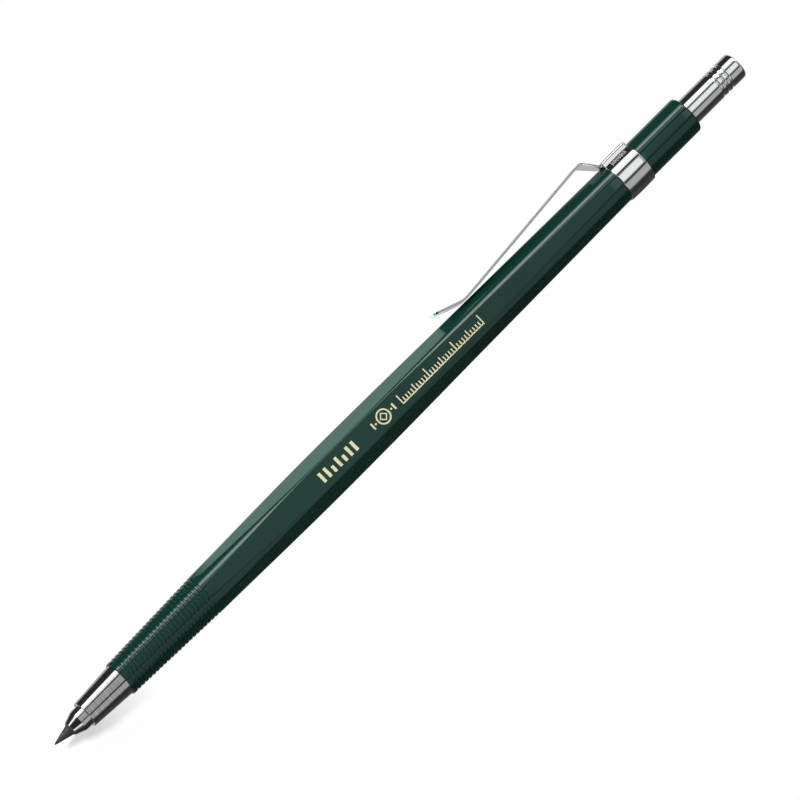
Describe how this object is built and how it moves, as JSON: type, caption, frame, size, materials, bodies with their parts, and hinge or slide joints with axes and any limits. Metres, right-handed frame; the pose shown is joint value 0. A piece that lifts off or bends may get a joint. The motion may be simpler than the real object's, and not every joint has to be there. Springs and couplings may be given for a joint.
{
  "type": "lead holder",
  "caption": "Slim clutch pencil with a faceted barrel, ribbed grip, metal nose, spring pocket clip and a push cap that opens the jaws on a thick drafting lead.",
  "frame": {"origin": "the writing point of the lead, on the pencil's axis, at rest", "axes": "+X along the pencil's axis from the writing point to the push cap, +Y from the axis towards the pocket clip, +Z out of the printed facet, so the pencil lies on the facet opposite the print"},
  "size_m": [0.1474, 0.0099, 0.007],
  "materials": {
    "barrel": "glossy moulded",
    "front_insert": "machined",
    "nose_sleeve": "polished plate",
    "spring_seat_washer": "plain",
    "clip_ring": "polished plate",
    "pocket_clip": "polished plate",
    "collet_jaws": "bright plated",
    "collet_body": "machined",
    "lead": "graphite sheen",
    "lead_tube": "drawn",
    "spring_collar": "machined",
    "return_spring": "drawn wire",
    "tube_end_bush": "machined",
    "friction_ring": "spring wire",
    "push_cap": "polished plate",
    "pointer_guide": "moulded",
    "pointer_blades": "ground"
  },
  "bodies": {
    "barrel": {"barrel": "barrel", "front_insert": "front_insert", "nose_sleeve": "nose_sleeve", "clip_ring": "clip_ring", "spring_seat_washer": "spring_seat_washer"},
    "clip": {"pocket_clip": "pocket_clip"},
    "push_carriage": {"lead_tube": "lead_tube", "collet_body": "collet_body", "spring_collar": "spring_collar", "return_spring": "return_spring", "tube_end_bush": "tube_end_bush", "friction_ring": "friction_ring"},
    "jaw_1": {"collet_jaw_1": "collet_jaws"},
    "jaw_2": {"collet_jaw_2": "collet_jaws"},
    "jaw_3": {"collet_jaw_3": "collet_jaws"},
    "lead": {"lead": "lead"},
    "cap": {"push_cap": "push_cap", "pointer_guide": "pointer_guide", "pointer_blades": "pointer_blades"}
  },
  "joints": [
    {"name": "push", "type": "slide", "parent": "barrel", "child": "push_carriage", "axis": [-1, 0, 0], "range_m": [0, 0.0035], "stiffness_N_per_m": 600, "springref_m": -0.003, "deforming": ["return_spring"]},
    {"name": "jaw_1_spread", "type": "hinge", "parent": "push_carriage", "child": "jaw_1", "pos_m": [0.01344, 0, 0.00125], "axis": [0, 1, 0], "range_deg": [0, 3]},
    {"name": "jaw_2_spread", "type": "hinge", "parent": "push_carriage", "child": "jaw_2", "pos_m": [0.01344, -0.00108, -0.00063], "axis": [0, -0.5, 0.866], "range_deg": [0, 3]},
    {"name": "jaw_3_spread", "type": "hinge", "parent": "push_carriage", "child": "jaw_3", "pos_m": [0.01344, 0.00108, -0.00063], "axis": [0, -0.5, -0.866], "range_deg": [0, 3]},
    {"name": "lead_feed", "type": "slide", "parent": "push_carriage", "child": "lead", "axis": [-1, 0, 0], "range_m": [-0.007, 0.012]},
    {"name": "cap_pull", "type": "slide", "parent": "push_carriage", "child": "cap", "axis": [1, 0, 0], "range_m": [0, 0.016]},
    {"name": "clip_lift", "type": "hinge", "parent": "barrel", "child": "clip", "pos_m": [0.12214, 0.00344, 0], "axis": [0, 0, -1], "range_deg": [0, 3], "stiffness_Nm_per_rad": 3, "springref_deg": -1.15}
  ],
  "couplings": [
    {"joint": "jaw_1_spread", "follows": "push", "rad_per_m": 14.95},
    {"joint": "jaw_2_spread", "follows": "push", "rad_per_m": 14.95},
    {"joint": "jaw_3_spread", "follows": "push", "rad_per_m": 14.95}
  ]
}
